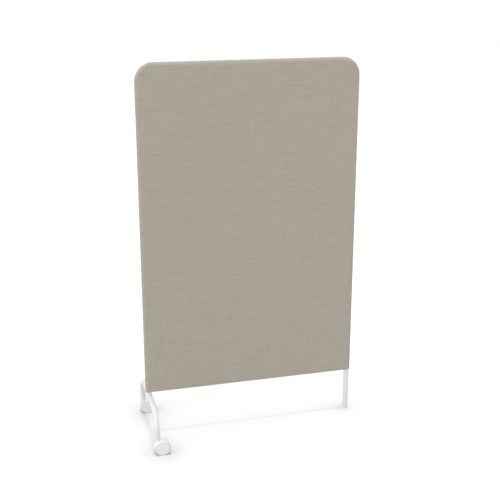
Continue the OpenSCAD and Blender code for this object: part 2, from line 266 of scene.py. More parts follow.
@dataclass(frozen=True)
class Finish:
    """A surface finish: colour, roughness and a relief in metres, varied by layers of noise and by waves.

    In its subclasses, tone, rough and rise mean the same as in a layer.
    """

    name: str
    colour: Colour
    roughness: float
    relief: float = 0.00005
    metallic: float = 0.0
    specular: float = 0.5
    sheen: float = 0.0
    sheen_roughness: float = 0.5
    layers: tuple[Layer, ...] = ()

    @cache
    def material(self) -> bpy.types.Material:
        """Makes the finish's material, once.

        Returns:
            The material.
        """
        made = bpy.data.materials.new(self.name)
        self.dress(Graph(made))
        return made

    def dress(self, graph: Graph) -> None:
        """Fills the material's node tree, here from the layers alone."""
        shade, rough, height = self.sums(graph, graph.coordinates(Place.OBJECT))
        self.lay(graph, graph.tinted(self.colour, shade), rough, height)

    def sums(self, graph: Graph, place: Signal) -> tuple[Operand, Operand, Operand]:
        """Adds up the layers.

        Args:
            graph: the material's node tree.
            place: the coordinates that the noise follows.
        Returns:
            What the colour is multiplied by, the roughness, and the height as a share of the relief.
        """
        noises = [graph.noise(place, layer.grain, layer.detail, layer.shift) for layer in self.layers]
        pairs = list(zip(self.layers, noises))
        shade = sum((noise * layer.tone for layer, noise in pairs if layer.tone), 1.0)
        rough = sum((noise * layer.rough for layer, noise in pairs if layer.rough), self.roughness)
        height = sum((noise * layer.rise for layer, noise in pairs if layer.rise), 0.0)
        return shade, rough, height

    def lay(self, graph: Graph, colour: Signal, rough: Operand, height: Signal) -> None:
        """Ends the material in one shader.

        Args:
            graph: the material's node tree.
            colour: the base colour.
            rough: the roughness.
            height: the height as a share of the relief.
        """
        sockets = {
            "Base Color": colour,
            "Roughness": rough,
            "Normal": graph.node("ShaderNodeBump", inputs={"Height": height, "Distance": self.relief}),
            "Metallic": self.metallic,
            "Specular IOR Level": self.specular,
            "Sheen Weight": self.sheen,
            "Sheen Roughness": self.sheen_roughness,
        }
        shader = graph.node("ShaderNodeBsdfPrincipled", inputs=sockets)
        graph.node("ShaderNodeOutputMaterial", inputs={"Surface": shader})


@dataclass(frozen=True)
class WovenCloth(Finish):
    """Plain-woven upholstery cloth. Layers: slubs along the weft, weft bands, warp streaks, yarn flecks."""

    relief: float = 0.00035
    specular: float = 0.25
    sheen: float = 0.1
    sheen_roughness: float = 0.45
    layers: tuple[Layer, ...] = (
        Layer((0.034, 0.0026, 1.0), tone=0.21, rise=0.5, detail=3.0, shift=3.1),
        Layer((0.085, 0.011, 1.0), tone=0.147, shift=11.7),
        Layer((0.0060, 0.120, 1.0), tone=0.126, shift=23.9),
        Layer((0.0011, 0.0007, 1.0), tone=0.42, rough=0.12, rise=0.5, shift=41.3),
    )
    pitch: float = 0.0013
    thread_tone: float = 0.055
    thread_power: float = 0.7

    def dress(self, graph: Graph) -> None:
        """Colour is the base times the layers and the over-and-under of the weave.

        The weave's height is the product of two cosines of half the thread spacing, without its sign, to
        a power that rounds the threads.

        Args:
            graph: the material's node tree.
        """
        place = graph.coordinates(Place.CLOTH)
        across, along, _ = graph.parts(place)
        crossing = across.wave(2 * self.pitch) * along.wave(2 * self.pitch)
        shade, rough, height = self.sums(graph, place)
        colour = graph.tinted(self.colour, shade + crossing * self.thread_tone)
        self.lay(graph, colour, rough, height + abs(crossing) ** self.thread_power)


@dataclass(frozen=True)
class RibbedTape(Finish):
    """Narrow woven tape, ribbed across its width, with flecked yarn."""

    relief: float = 0.00025
    sheen: float = 0.1
    layers: tuple[Layer, ...] = (Layer((0.002, 0.0008, 1.0), tone=0.5, rough=0.1, shift=5.0),)
    rib: float = 0.0016
    rib_tone: float = 0.14
    rib_rise: float = 0.5
    yarn: float = 0.0009
    yarn_tone: float = 0.08
    yarn_rise: float = 0.25

    def dress(self, graph: Graph) -> None:
        """Ribs are a cosine along the tape, and yarns a finer one across it.

        Args:
            graph: the material's node tree.
        """
        place = graph.coordinates(Place.CLOTH)
        along, across, _ = graph.parts(place)
        ribs, yarns = along.wave(self.rib), across.wave(self.yarn)
        shade, rough, height = self.sums(graph, place)
        colour = graph.tinted(self.colour, shade + ribs * self.rib_tone + yarns * self.yarn_tone)
        self.lay(graph, colour, rough, height + ribs * self.rib_rise + yarns * self.yarn_rise)


@dataclass(frozen=True)
class Fleece(Finish):
    """Bonded fibre: tufts and fine strands without a weave."""

    relief: float = 0.0008
    specular: float = 0.2
    sheen: float = 0.25
    tuft: float = 0.009
    tuft_tone: float = 0.25
    tuft_rise: float = 0.6
    strand: float = 0.0009
    strand_stretch: float = 8.0
    strand_tone: float = 0.9
    strand_rough: float = 0.1

    def dress(self, graph: Graph) -> None:
        """Tufts and strands are noise on the model's axes, the strands stretched two ways.

        Args:
            graph: the material's node tree.
        """
        place = graph.coordinates(Place.OBJECT)
        thick, long = self.strand, self.strand_stretch * self.strand
        tufts = graph.noise(place, self.tuft, detail=3.0)
        level = graph.noise(place, (long, thick, thick), detail=3.0, shift=7.0)
        upright = graph.noise(place, (thick, thick, long), detail=3.0, shift=19.0)
        strands = level.highest(upright)
        colour = graph.tinted(self.colour, 1.0 + tufts * self.tuft_tone + strands * self.strand_tone)
        rough = self.roughness + strands * self.strand_rough
        self.lay(graph, colour, rough, tufts * self.tuft_rise + strands)


@dataclass(frozen=True)
class PressedBoard(Finish):
    """Wet-pressed fibre board. Layers: clouds of tone, and short darker fibres in two directions."""

    relief: float = 0.00012
    layers: tuple[Layer, ...] = (
        Layer(0.06, tone=0.3, detail=3.0),
        Layer((0.006, 0.001, 0.0007), tone=0.45, rough=0.15, rise=1.0, detail=3.0, shift=3.0),
        Layer((0.0007, 0.001, 0.006), tone=0.45, rough=0.15, rise=1.0, detail=3.0, shift=9.0),
    )


@dataclass(frozen=True)
class PowderCoat(Finish):
    """Baked powder paint on steel tube. Layers: slow drift of tone and gloss, fine specks, orange peel."""

    relief: float = 0.00003
    layers: tuple[Layer, ...] = (
        Layer(0.07, tone=0.025, rough=0.08, shift=29.0),
        Layer(0.0005, tone=0.03, rough=0.06, rise=0.3, detail=1.0, shift=13.0),
        Layer(0.0022, rise=1.0, detail=1.0),
    )


@dataclass(frozen=True)
class MouldedPlastic(Finish):
    """Injection-moulded housing plastic. Layers: slow flow marks in the gloss, fine eroded texture."""

    relief: float = 0.00004
    specular: float = 0.35
    layers: tuple[Layer, ...] = (
        Layer((0.018, 0.018, 0.006), tone=0.03, rough=0.12, shift=5.0),
        Layer(0.0004, tone=0.04, rough=0.08, rise=1.0),
    )


@dataclass(frozen=True)
class SoftTread(Finish):
    """Black tyre rubber. Layers: broad patches of dust that lighten it, fine pits."""

    relief: float = 0.00006
    specular: float = 0.35
    layers: tuple[Layer, ...] = (
        Layer(0.007, tone=0.5, rough=0.15, detail=3.0),
        Layer(0.0006, tone=0.2, rise=1.0, shift=17.0),
    )


@dataclass(frozen=True)
class ZincSteel(Finish):
    """Bright zinc-plated steel with a faint cloudy bloom and draw marks."""

    relief: float = 0.00002
    metallic: float = 1.0
    warm: Colour = (0.62, 0.58, 0.49)
    bloom: float = 0.009
    bloom_low: float = -0.1
    bloom_high: float = 0.3
    bloom_rough: float = 0.25
    mark: Triple = (0.0007, 0.0007, 0.012)
    mark_rough: float = 0.2

    def dress(self, graph: Graph) -> None:
        """Bloom mixes the base towards a warm tone; draw marks are noise stretched upwards.

        Args:
            graph: the material's node tree.
        """
        place = graph.coordinates(Place.OBJECT)
        bloom = graph.noise(place, self.bloom, detail=3.0)
        marks = graph.noise(place, self.mark, shift=31.0)
        colour = graph.mixed(bloom.ramp(self.bloom_low, self.bloom_high), self.colour, self.warm)
        rough = self.roughness + bloom * self.bloom_rough + marks * self.mark_rough
        self.lay(graph, colour, rough, marks)


@dataclass(frozen=True)
class Thread(Finish):
    """Twisted sewing thread."""

    twist: float = 0.0006
    twist_tone: float = 0.12
    twist_rough: float = 0.05

    def dress(self, graph: Graph) -> None:
        """The twist is a cosine along a slant of the thread.

        Args:
            graph: the material's node tree.
        """
        x, y, _ = graph.parts(graph.coordinates(Place.OBJECT))
        twist = (x + y).wave(self.twist)
        colour = graph.tinted(self.colour, 1.0 + twist * self.twist_tone)
        self.lay(graph, colour, self.roughness + twist * self.twist_rough, twist)


COVER_CLOTH = WovenCloth("woven_cover", (0.392, 0.361, 0.305), 0.88)
HEM_CLOTH = WovenCloth("hem_binding", (0.36, 0.332, 0.28), 0.88, pitch=0.0009)
TAPE = RibbedTape("closing_tape", (0.17, 0.155, 0.133), 0.8)
SEWING = Thread("sewing_thread", (0.30, 0.275, 0.235), 0.6)
WHITE_FLEECE = Fleece("white_fleece", (0.75, 0.73, 0.68), 0.95)
GREY_FELT = Fleece("grey_felt", (0.27, 0.28, 0.29), 0.95, tuft=0.022, strand=0.0006)
FIBRE_BOARD = PressedBoard("fibre_board", (0.34, 0.21, 0.11), 0.55)
WHITE_PAINT = PowderCoat("white_powder_coat", (0.68, 0.68, 0.68), 0.5)
CASTER_SHELL = MouldedPlastic("moulded_shell", (0.75, 0.75, 0.75), 0.6)
TREAD = SoftTread("tyre_rubber", (0.03, 0.03, 0.03), 0.72)
ZINC = ZincSteel("zinc_steel", (0.56, 0.57, 0.58), 0.34)


# ---- meshes ----


@dataclass
class Patch:
    """A grid of points, rows by columns by 3, with each point's place on the flat cloth in metres."""

    points: np.ndarray
    cloth: np.ndarray

    def faces(self) -> np.ndarray:
        """Lists the grid's quads, row by row.

        Returns:
            Each quad's four corner indices.
        """
        rows, columns = self.points.shape[:2]
        index = np.arange(rows * columns).reshape(rows, columns)
        corners = (index[:-1, :-1], index[:-1, 1:], index[1:, 1:], index[1:, :-1])
        return np.stack(corners, axis=-1).reshape(-1, 4)


def joined_mesh(
    name: str, patches: Sequence[Patch], weld: float = 2e-5, sliver: float = 1e-7
) -> bpy.types.Mesh:
    """Joins grids into one smooth mesh whose faces point outwards.

    Args:
        name: the mesh's name.
        patches: grids whose shared borders hold the same points.
        weld: points nearer to each other than this become one.
        sliver: edges shorter than this go.
    Returns:
        The mesh, with the cloth map on its corners.
    """
    starts = np.cumsum([0] + [patch.points.shape[0] * patch.points.shape[1] for patch in patches])
    faces = np.concatenate([patch.faces() + start for patch, start in zip(patches, starts)])
    points = np.concatenate([patch.points.reshape(-1, 3) for patch in patches])
    cloth = np.concatenate([patch.cloth.reshape(-1, 2) for patch in patches])
    mesh = bpy.data.meshes.new(name)
    mesh.from_pydata(points.tolist(), [], faces.tolist())
    layer = mesh.uv_layers.new(name=CLOTH_MAP)
    layer.data.foreach_set("uv", cloth[faces.ravel()].astype(np.float32).ravel())
    shell = bmesh.new()
    shell.from_mesh(mesh)
    bmesh.ops.remove_doubles(shell, verts=shell.verts, dist=weld)
    bmesh.ops.dissolve_degenerate(shell, edges=shell.edges, dist=sliver)
    bmesh.ops.recalc_face_normals(shell, faces=shell.faces)
    shell.to_mesh(mesh)
    shell.free()
    mesh.shade_smooth()
    return mesh


def placed(name: str, data: bpy.types.ID) -> bpy.types.Object:
    """Puts a new object into the scene.

    Args:
        name: the object's name.
        data: its mesh, lamp or camera.
    Returns:
        The object, at the origin.
    """
    made = bpy.data.objects.new(name, data)
    bpy.context.scene.collection.objects.link(made)
    return made


def new_piece(name: str, patches: Sequence[Patch], finish: Finish) -> bpy.types.Object:
    """Makes a piece of the screen from grids, and reports it.

    Args:
        name: the piece's name.
        patches: its grids, in place.
        finish: its surface finish.
    Returns:
        The new object.
    """
    mesh = joined_mesh(name, patches)
    mesh.materials.append(finish.material())
    piece = placed(name, mesh)
    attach(piece, "screen")
    log.info("built: %s", name)
    return piece


def give_wall(piece: bpy.types.Object, thickness: float) -> None:
    """Gives a skin its thickness, inwards from its outer face.

    Args:
        piece: the skin.
        thickness: the wall's thickness in metres.
    """
    wall = piece.modifiers.new("wall", "SOLIDIFY")
    wall.thickness = thickness
    wall.offset = -1.0
    wall.use_even_offset = True


def read_points(mesh: bpy.types.Mesh) -> np.ndarray:
    """Reads where a mesh's points are.

    Args:
        mesh: the mesh.
    Returns:
        Its points, one row each.
    """
    points = np.zeros(len(mesh.vertices) * 3, np.float32)
    mesh.vertices.foreach_get("co", points)
    return points.reshape(-1, 3).astype(float)


def edge_spaced(count: int) -> np.ndarray:
    """Numbers from -1 to 1, close together at both ends: the sine of evenly spaced angles."""
    return np.sin(np.linspace(-0.5 * math.pi, 0.5 * math.pi, count))


def round_angles(count: int) -> np.ndarray:
    """Evenly spaced angles from 0 to a full turn."""
    return np.linspace(0, 2 * math.pi, count)


def smooth_step(value: np.ndarray, low: float, high: float) -> np.ndarray:
    """0 below low, 1 above high, and 3t^2 - 2t^3 between them."""
    t = np.clip((value - low) / (high - low), 0.0, 1.0)
    return t * t * (3.0 - 2.0 * t)


# ---- the panel's soft parts ----

# Stations of the panel's grids: degrees from a face round to the seam, degrees along a tube hole's rim, and
# shares of the way in under the panel.
EDGE_ANGLES = (0, 12, 25, 38, 50, 62, 72, 79, 84, 87.5, 90)
HOLE_ANGLES = (90, 67.5, 45, 22.5)
INSET_SHARES = (0, 0.012, 0.045, 0.1, 0.17, 0.25, 0.34, 0.5, 0.75, 1)


@dataclass
class Crown:
    """How far the filling presses the cloth out over the panel's face, from a short cloth simulation.

    The face reaches half_w to each side of the middle, and from low to high. A point that is less than
    near from its border is pinned.
    """

    half_w: float
    low: float
    high: float
    most: float = 0.0013
    across: int = 30
    up: int = 44
    near: float = 1e-4
    pressure: float = 4.0
    stiffness: float = 60.0
    quality: int = 5
    frames: int = 20
    flatness: float = 4.0
    share: np.ndarray = field(init=False)

    def __post_init__(self) -> None:
        """Works out the share of the full lift at each point of a coarse net."""
        self.share = self.simulated()

    def simulated(self) -> np.ndarray:
        """Blows out a net that is pinned along its border, and flattens its middle.

        Returns:
            The hyperbolic tangent of flatness times the share of the largest travel, scaled to reach 1.
        """
        v, u = np.meshgrid(*(np.linspace(0, 1, count + 1) for count in (self.up, self.across)), indexing="ij")
        x, z = (2 * u - 1) * self.half_w, self.low + v * (self.high - self.low)
        points = np.stack([x, 0 * u, z], axis=-1)
        mesh = joined_mesh("crown_net", [Patch(points, np.stack([u, v], axis=-1))])
        net = placed("crown_net", mesh)
        scene = bpy.context.scene
        start = read_points(mesh)
        rim = (abs(start[:, 0]) > self.half_w - self.near) | (start[:, 2] < self.low + self.near)
        rim |= start[:, 2] > self.high - self.near
        pins = net.vertex_groups.new(name="pins")
        pins.add(np.flatnonzero(rim).tolist(), 1.0, "REPLACE")
        press = net.modifiers.new("press", "CLOTH")
        cloth = press.settings
        cloth.quality = self.quality
        cloth.tension_stiffness = self.stiffness
        cloth.compression_stiffness = self.stiffness
        cloth.vertex_group_mass = "pins"
        cloth.use_pressure = True
        cloth.uniform_pressure_force = self.pressure
        cloth.effector_weights.gravity = 0.0
        press.point_cache.frame_start = 1
        press.point_cache.frame_end = self.frames
        for step in range(1, self.frames + 1):
            scene.frame_set(step)
        blown = net.evaluated_get(bpy.context.evaluated_depsgraph_get()).to_mesh()
        travel = abs(read_points(blown)[:, 1])
        scene.frame_set(1)
        bpy.data.objects.remove(net)
        order = np.lexsort((start[:, 0].round(5), start[:, 2].round(5)))
        grid = travel[order].reshape(self.up + 1, self.across + 1)
        travelled = grid / max(grid.max(), TINY)
        return np.tanh(self.flatness * travelled) / math.tanh(self.flatness)

    def lift(self, x: np.ndarray, z: np.ndarray) -> np.ndarray:
        """The outward lift at points of the face.

        Args:
            x: places along the panel, in metres.
            z: heights above the floor, in metres.
        Returns:
            Lifts in metres, interpolated between the net's four nearest points.
        """
        u = np.clip((x + self.half_w) / (2 * self.half_w), 0, 1) * self.across
        v = np.clip((z - self.low) / (self.high - self.low), 0, 1) * self.up
        i = np.minimum(v.astype(int), self.up - 1)
        j = np.minimum(u.astype(int), self.across - 1)
        s, t = u - j, v - i
        lower = self.share[i, j] * (1 - s) + self.share[i, j + 1] * s
        upper = self.share[i + 1, j] * (1 - s) + self.share[i + 1, j + 1] * s
        return self.most * (lower * (1 - t) + upper * t)


@dataclass(frozen=True)
class PanelSkin:
    """A layer of the padded panel: half-round sides and top, rounded bottom, a hole for each tube.

    The tubes' axes lie leg_x from the middle, which is edge_r in from the sides. The seam's dip is groove
    deep and seam_w wide, and grows from seam_low to seam_full above the bottom.
    """

    leg_x: float
    low: float
    high: float
    edge_r: float
    hole_r: float
    corner_r: float = 0.080
    base_r: float = 0.005
    groove: float = 0.0006
    seam_w: float = 0.0011
    seam_low: float = 0.010
    seam_full: float = 0.045
    spacing: float = 0.0125
    bend_steps: int = 10

    def drawn_in(self, inset: float) -> "PanelSkin":
        """The same layer, further in by inset and without a seam."""
        return replace(
            self,
            low=self.low + inset,
            high=self.high - inset,
            edge_r=self.edge_r - inset,
            corner_r=self.corner_r - inset,
            base_r=self.base_r - inset,
            groove=0.0,
            spacing=2 * self.spacing,
        )

    @property
    def bend_r(self) -> float:
        """Radius of the frame's corner bends, which the face's outline follows."""
        return self.corner_r - self.edge_r

    def columns(self) -> np.ndarray:
        """Spaces the face's columns evenly between the tube holes, and by angle along their rims.

        Returns:
            Places along the face's bottom row.
        """
        mouth = self.leg_x - self.hole_r
        steps = round(2 * mouth / self.spacing)
        round_mouth = self.leg_x - self.hole_r * np.cos(np.radians(HOLE_ANGLES))
        return np.concatenate([-round_mouth, np.linspace(-mouth, mouth, steps + 1), round_mouth[::-1]])

    def rows(self) -> tuple[np.ndarray, np.ndarray]:
        """Straight sides go up to the corner's centre; above it the rows follow the bend's circle.

        Returns:
            Heights of the face's rows, and half the face's width at each.
        """
        top, floor_row = self.high - self.edge_r, self.low + self.base_r
        centre = top - self.bend_r
        straight = np.linspace(floor_row, centre, round((centre - floor_row) / self.spacing) + 1)
        turn = np.radians(np.linspace(0, 90, self.bend_steps + 1))[1:]
        z = np.concatenate([straight, centre + self.bend_r * np.sin(turn)])
        bend_x = self.leg_x - self.bend_r
        half = np.concatenate([np.full(len(straight), self.leg_x), bend_x + self.bend_r * np.cos(turn)])
        return z, half

    def on_cloth(self, side: Side, x: np.ndarray, z: np.ndarray) -> np.ndarray:
        """Places on the flat cloth: the rear face lies beside the front one, turned over at 1.5 leg_x."""
        across = x if side is Side.FRONT else 3.0 * self.leg_x - x
        return np.stack([across, z + 0 * x], axis=-1)

    def face(self, side: Side, crown: Crown) -> Patch:
        """The flat face with its crown; each row is the bottom row scaled to that row's width.

        Args:
            side: the face.
            crown: the lift that the filling gives it.
        Returns:
            The face's grid.
        """
        z, half = self.rows()
        x = half[:, None] / self.leg_x * self.columns()[None, :]
        z = np.repeat(z[:, None], x.shape[1], axis=1)
        y = side.value * (self.edge_r + crown.lift(x, z))
        return Patch(np.stack([x, y, z], axis=-1), self.on_cloth(side, x, z))

    def outline(self) -> tuple[np.ndarray, np.ndarray]:
        """The face's border from bottom left over the top to bottom right.

        Returns:
            The points of the line on which the edge's half circle is centred, and the outward directions,
            both as x and z.
        """
        z, half = self.rows()
        bend_x, centre = self.leg_x - self.bend_r, self.high - self.corner_r
        left = np.stack([-half, z], axis=-1)
        top_x = half[-1] / self.leg_x * self.columns()[1:-1]
        top = np.stack([top_x, np.full(len(top_x), z[-1])], axis=-1)
        right = left[::-1] * (-1, 1)
        spots = np.concatenate([left, top, right])
        inner_x = np.clip(spots[:, 0], -bend_x, bend_x)
        inner_z = np.minimum(spots[:, 1], centre)
        away = spots - np.stack([inner_x, inner_z], axis=-1)
        return spots, away / np.linalg.norm(away, axis=-1, keepdims=True)

    def edge(self, side: Side, stop: float = 90.0) -> Patch:
        """The rounded edge from the face to the seam in its middle.

        Each point is the outline's point, plus the radius times the sine of phi outwards and the cosine of
        phi to the side. The seam is a narrow dip that fades out above the bottom hem.

        Args:
            side: the face that the edge starts from.
            stop: the angle in degrees at which it ends; 90 is the seam.
        Returns:
            The edge's grid.
        """
        spots, out = self.outline()
        phi = np.radians(np.minimum(EDGE_ANGLES, stop))
        fade = smooth_step(spots[:, 1], self.low + self.seam_low, self.low + self.seam_full)
        from_seam = (0.5 * math.pi - phi) * self.edge_r
        dip = self.groove * fade[:, None] * np.exp(-((from_seam / self.seam_w) ** 2))
        radius = self.edge_r - dip
        sideways = side.value * radius * np.cos(phi)
        reach = (radius * np.sin(phi))[..., None] * out[:, None, :]
        place = spots[:, None, :] + reach
        points = np.stack([place[..., 0], sideways, place[..., 1]], axis=-1)
        travel = self.edge_r * phi
        flat = spots[:, None, :] + out[:, None, :] * travel[None, :, None]
        return Patch(points, self.on_cloth(side, flat[..., 0], flat[..., 1]))

    def rise(self, inset: np.ndarray) -> np.ndarray:
        """How far the bottom lies above its lowest level: a quarter circle of base_r, then 0."""
        return self.base_r - np.sqrt(self.base_r**2 - np.maximum(self.base_r - inset, 0.0) ** 2)

    def underside(self, side: Side, stop: float = 90.0) -> Patch:
        """Half of the rounded bottom, from the outline in to the middle or to a tube's hole.

        The inset grows from 0 to each station's own depth, and the height is low plus the inset's rise.

        Args:
            side: the face that the bottom starts from.
            stop: the angle in degrees at which the edge above it ends.
        Returns:
            The underside's grid.
        """
        phi = np.radians(np.minimum(EDGE_ANGLES[:0:-1], stop))
        x = self.columns()
        end = np.stack([self.leg_x + self.edge_r * np.sin(phi), self.edge_r * np.cos(phi)], axis=-1)
        row = np.stack([x, np.full(len(x), self.edge_r)], axis=-1)
        rim = np.concatenate([end * (-1, 1), row, end[::-1]])
        inner_x = np.clip(rim[:, 0], -self.leg_x, self.leg_x)
        inward = np.stack([inner_x - rim[:, 0], -rim[:, 1]], axis=-1)
        inward /= np.linalg.norm(inward, axis=-1, keepdims=True)
        from_leg = np.maximum(self.leg_x - abs(rim[:, 0]), 0.0)
        hole_y = np.sqrt(np.maximum(self.hole_r**2 - from_leg**2, 0.0))
        inset = (self.edge_r - hole_y)[:, None] * np.array(INSET_SHARES)
        place = rim[:, None, :] + inward[:, None, :] * inset[..., None]
        height = self.low + self.rise(inset)
        points = np.stack([place[..., 0], side.value * place[..., 1], height], axis=-1)
        cloth_x = np.repeat(rim[:, :1], inset.shape[1], axis=1)
        return Patch(points, self.on_cloth(side, cloth_x, self.low + self.base_r - inset))

    def half(self, side: Side, crown: Crown, stop: float = 90.0) -> list[Patch]:
        """Face, edge and underside of one side."""
        return [self.face(side, crown), self.edge(side, stop), self.underside(side, stop)]

    def height_under(self, leg: float, x: np.ndarray, y: np.ndarray) -> np.ndarray:
        """How high the skin's bottom lies at points x, y near the tube whose axis is at leg."""
        beyond = np.maximum((x - leg) * math.copysign(1.0, leg), 0.0)
        return self.low + self.rise(self.edge_r - np.hypot(beyond, y))


@dataclass(frozen=True)
class ClosingTape:
    """The tape over the cover's mouth with its two rows of stitches.

    Each selvedge is a bead of selvedge_t by selvedge_w, selvedge_in from the tape's side. The stitches'
    rows lie row_in from it, and stop end_clear short of the tape's length.
    """

    tape_t: float = 0.0006
    selvedge_t: float = 0.00025
    selvedge_w: float = 0.0007
    selvedge_in: float = 0.0011
    squareness: int = 40
    steps: tuple[int, int] = (241, 25)
    pitch: float = 0.0046
    stitch: float = 0.0034
    thread_r: float = 0.00022
    arch: float = 0.00015
    row_in: float = 0.0022
    end_clear: float = 0.020
    bead_steps: tuple[int, int] = (5, 7)

    def band(self) -> bpy.types.Object:
        """A flat bar with thicker selvedges and round ends.

        Returns:
            The tape.
        """
        low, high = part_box("closing_strip")
        half_l, half_w = high.x, high.y
        rows, columns = self.steps
        u, v = np.meshgrid(np.linspace(-1, 1, rows), edge_spaced(columns), indexing="ij")
        round_end = half_l - half_w + half_w * np.sqrt(np.maximum(1 - v**2, 0.0))
        x, y = u * round_end, v * half_w
        from_bead = (1 - abs(v)) * half_w - self.selvedge_in
        bead = self.selvedge_t * np.exp(-((from_bead / self.selvedge_w) ** 2))
        edge = np.sqrt(np.maximum(1 - np.maximum(abs(v), abs(u)) ** self.squareness, 0.0))
        top = np.full_like(x, low.z)
        cloth = np.stack([x, y], axis=-1)
        lower = Patch(np.stack([x, y, top - (self.tape_t + bead) * edge], axis=-1), cloth)
        upper = Patch(np.stack([x, y, top], axis=-1), cloth)
        tape = new_piece("closing_tape", [lower, upper], TAPE)
        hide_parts("closing_strip")
        return tape

    def stitches(self) -> bpy.types.Object:
        """Two rows of stitches along the tape, each a small arched bead of thread.

        Returns:
            All the stitches as one piece.
        """
        low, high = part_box("closing_strip")
        count = int((2 * high.x - self.end_clear) / self.pitch)
        places = (np.arange(count) - (count - 1) / 2) * self.pitch
        rows, columns = self.bead_steps
        t, a = np.meshgrid(np.linspace(-1, 1, rows), round_angles(columns), indexing="ij")
        girth = self.thread_r * np.sqrt(np.maximum(1 - t**2, 0.0))
        drop = self.arch * (1 - t**2)
        bead = np.stack([t * self.stitch / 2, girth * np.cos(a), girth * np.sin(a) - drop], axis=-1)
        cloth = np.stack([t, a], axis=-1)
        spots = [
            (place, row * (high.y - self.row_in), low.z - self.tape_t) for row in (-1, 1) for place in places
        ]
        patches = [Patch(bead + spot, cloth) for spot in spots]
        return new_piece("tape_stitches", patches, SEWING)


@dataclass(frozen=True)
class FeltSlab:
    """A felted slab, shaped by the panel that it fills and dented by what holds the board.

    The outer face has a slight wave, with its three rates in radians per metre. Ears reach tab_reach in
    from the tubes, the outer ones tab_inset from the frame's corners. A dent is flat as far as its size,
    and fades over dent_slope.
    """

    side: Side
    skin: PanelSkin
    crown: Crown
    tube_r: float
    outer_gap: float
    core_gap: float = 0.001
    rim_r: float = 0.004
    steps: tuple[int, int] = (72, 96)
    wave: float = 0.00025
    wave_rates: Triple = (41.0, 13.0, 37.0)
    tab_reach: float = 0.026
    tab_inset: float = 0.150
    upright_tabs: int = 3
    head_depth: float = 0.0032
    head_size: float = 0.009
    tab_clear: float = 0.0022
    tab_size: float = 0.020
    dent_slope: float = 0.014

    def build(self) -> None:
        """Two faces that meet in a rounded rim, dented over the ears or screw heads.

        The thickness at a point is the slab's, times a quarter circle of its distance from the rim.
        """
        low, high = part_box(f"{self.side.word}_absorber")
        corner = self.skin.bend_r - self.tube_r - self.core_gap
        half_w, mid_z, half_h = high.x, (low.z + high.z) / 2, (high.z - low.z) / 2
        across, up = np.meshgrid(*(edge_spaced(count) for count in self.steps))
        z = mid_z + half_h * up
        over = np.maximum(z - (high.z - corner), 0.0)
        width = half_w - corner + np.sqrt(np.maximum(corner**2 - over**2, 0.0))
        x = width * across
        to_arc = corner - np.hypot(np.maximum(abs(x) - (half_w - corner), 0.0), over)
        to_side = np.where(over > 0, to_arc, half_w - abs(x))
        distance = np.minimum(np.minimum(to_side, z - low.z), high.z - z)
        swell = np.sqrt(1 - (1 - np.clip(distance / self.rim_r, 0, 1)) ** 2)
        outer, inner = (low.y, high.y) if self.side is Side.FRONT else (high.y, low.y)
        middle = (outer + inner) / 2
        slant, bend, climb = self.wave_rates
        waves = self.wave * np.sin(x * slant + 2.0 * np.sin(z * bend)) * np.sin(z * climb)
        lift = self.side.value * (self.crown.lift(x, z) - self.outer_gap + waves * swell)
        outer_y = middle + (outer - middle + lift) * swell
        inner_y = middle + (inner - middle) * swell
        inner_y = inner_y + self.side.value * self.dents(x, z) * swell
        cloth = np.stack([x, z], axis=-1)
        patches = [Patch(np.stack([x, y, z], axis=-1), cloth) for y in (outer_y, inner_y)]
        slab = new_piece(f"{self.side.word}_slab", patches, GREY_FELT)
        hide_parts(f"{self.side.word}_absorber")

    def dents(self, x: np.ndarray, z: np.ndarray) -> np.ndarray:
        """Presses the board's fixings into the inner face: a soft-edged spot at each fixing.

        Args:
            x: places along the panel.
            z: heights above the floor.
        Returns:
            Depths in metres.
        """
        reach = self.tube_r + self.tab_reach - self.core_gap
        rail, top = self.skin.low + self.skin.edge_r, self.skin.high - self.skin.edge_r
        heights = np.linspace(rail + self.tab_inset, top - self.tab_inset, self.upright_tabs)
        left_in, quarter = self.skin.leg_x - reach, self.skin.leg_x / 2
        spots = [(end.value * left_in, height) for end in End for height in heights]
        spots += [(end.value * quarter, height) for end in End for height in (rail + reach, top - reach)]
        if self.side is Side.FRONT:
            depth, size = self.head_depth, self.head_size
        else:
            tab_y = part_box("fixing_tabs")[1].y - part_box("core_board")[1].y
            depth, size = tab_y + self.tab_clear, self.tab_size
        total = np.zeros_like(x)
        for spot_x, spot_z in spots:
            away = np.hypot(x - spot_x, z - spot_z)
            total = np.maximum(total, 1 - smooth_step(away, size, size + self.dent_slope))
        return depth * total


